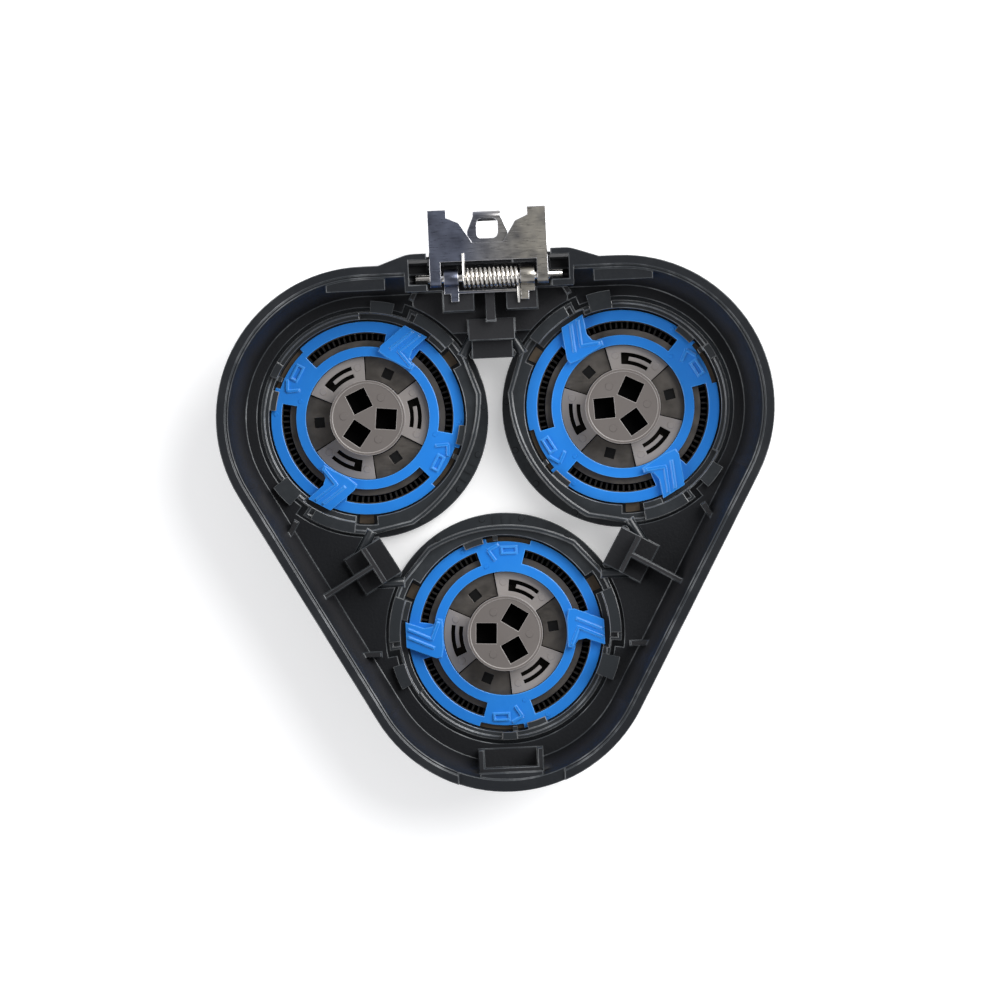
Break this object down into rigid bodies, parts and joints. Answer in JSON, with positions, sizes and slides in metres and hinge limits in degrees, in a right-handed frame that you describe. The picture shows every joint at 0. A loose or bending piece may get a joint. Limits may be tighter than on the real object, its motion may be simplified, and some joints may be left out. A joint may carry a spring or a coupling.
{
  "type": "rotary shaver head",
  "caption": "Rounded triangular shaver head with floating rotary cutter units, turnable retaining rings, slotted guard caps and a sprung steel flip hinge.",
  "frame": {"origin": "middle of the bounding box in plan, on the plane of the shaving faces", "axes": "+Z out of the open side that meets the handle, +Y towards the hinge, +X to the right seen from above"},
  "size_m": [0.0622, 0.0649, 0.013],
  "materials": {
    "shell_black": "fine textured black plastic",
    "frame_black": "semi-gloss black plastic",
    "ring_blue": "satin blue plastic",
    "hub_grey": "satin warm grey plastic",
    "insert_grey": "satin grey plastic",
    "blade_steel": "ground steel",
    "cap_steel": "ground steel",
    "steel": "stamped steel, lightly scratched",
    "spring_steel": "drawn wire"
  },
  "bodies": {
    "shell": {"head_shell": "shell_black", "hinge_pin": "steel", "hinge_bracket": "steel", "torsion_spring": "spring_steel"},
    "hinge": {"hinge_plate": "steel", "latch_tongue": "steel"},
    "unit_left": {"carrier_left": "frame_black", "guard_cap_left": "cap_steel", "cap_insert_left": "insert_grey"},
    "ring_left": {"retaining_ring_left": "ring_blue"},
    "cutter_left": {"blade_ring_left": "blade_steel", "coupling_left": "hub_grey"},
    "unit_right": {"carrier_right": "frame_black", "guard_cap_right": "cap_steel", "cap_insert_right": "insert_grey"},
    "ring_right": {"retaining_ring_right": "ring_blue"},
    "cutter_right": {"blade_ring_right": "blade_steel", "coupling_right": "hub_grey"},
    "unit_front": {"carrier_front": "frame_black", "guard_cap_front": "cap_steel", "cap_insert_front": "insert_grey"},
    "ring_front": {"retaining_ring_front": "ring_blue"},
    "cutter_front": {"blade_ring_front": "blade_steel", "coupling_front": "hub_grey"}
  },
  "joints": [
    {"name": "hinge_swing", "type": "hinge", "parent": "shell", "child": "hinge", "pos_m": [0, 0.0249, 0.0113], "axis": [1, 0, 0], "range_deg": [0, 90], "stiffness_Nm_per_rad": 0.0003, "springref_deg": -57.3, "deforming": ["torsion_spring"]},
    {"name": "tilt_left", "type": "hinge", "parent": "shell", "child": "unit_left", "pos_m": [-0.00888, 0.00673, 0.0051], "axis": [0.5, 0.866, 0], "range_deg": [0, 6.5]},
    {"name": "ring_turn_left", "type": "hinge", "parent": "unit_left", "child": "ring_left", "pos_m": [-0.01429, 0.00985, 0.00265], "axis": [0, 0, 1], "range_deg": [0, 18]},
    {"name": "cutter_spin_left", "type": "hinge", "parent": "unit_left", "child": "cutter_left", "pos_m": [-0.01429, 0.00985, 0.00115], "axis": [0, 0, 1], "continuous": true},
    {"name": "tilt_right", "type": "hinge", "parent": "shell", "child": "unit_right", "pos_m": [0.00888, 0.00673, 0.0051], "axis": [0.5, -0.866, 0], "range_deg": [0, 6.5]},
    {"name": "ring_turn_right", "type": "hinge", "parent": "unit_right", "child": "ring_right", "pos_m": [0.01429, 0.00985, 0.00265], "axis": [0, 0, 1], "range_deg": [0, 18]},
    {"name": "cutter_spin_right", "type": "hinge", "parent": "unit_right", "child": "cutter_right", "pos_m": [0.01429, 0.00985, 0.00115], "axis": [0, 0, 1], "continuous": true},
    {"name": "tilt_front", "type": "hinge", "parent": "shell", "child": "unit_front", "pos_m": [0, -0.00865, 0.0051], "axis": [-1, 0, 0], "range_deg": [0, 6.5]},
    {"name": "ring_turn_front", "type": "hinge", "parent": "unit_front", "child": "ring_front", "pos_m": [0, -0.0149, 0.00265], "axis": [0, 0, 1], "range_deg": [0, 18]},
    {"name": "cutter_spin_front", "type": "hinge", "parent": "unit_front", "child": "cutter_front", "pos_m": [0, -0.0149, 0.00115], "axis": [0, 0, 1], "continuous": true}
  ]
}
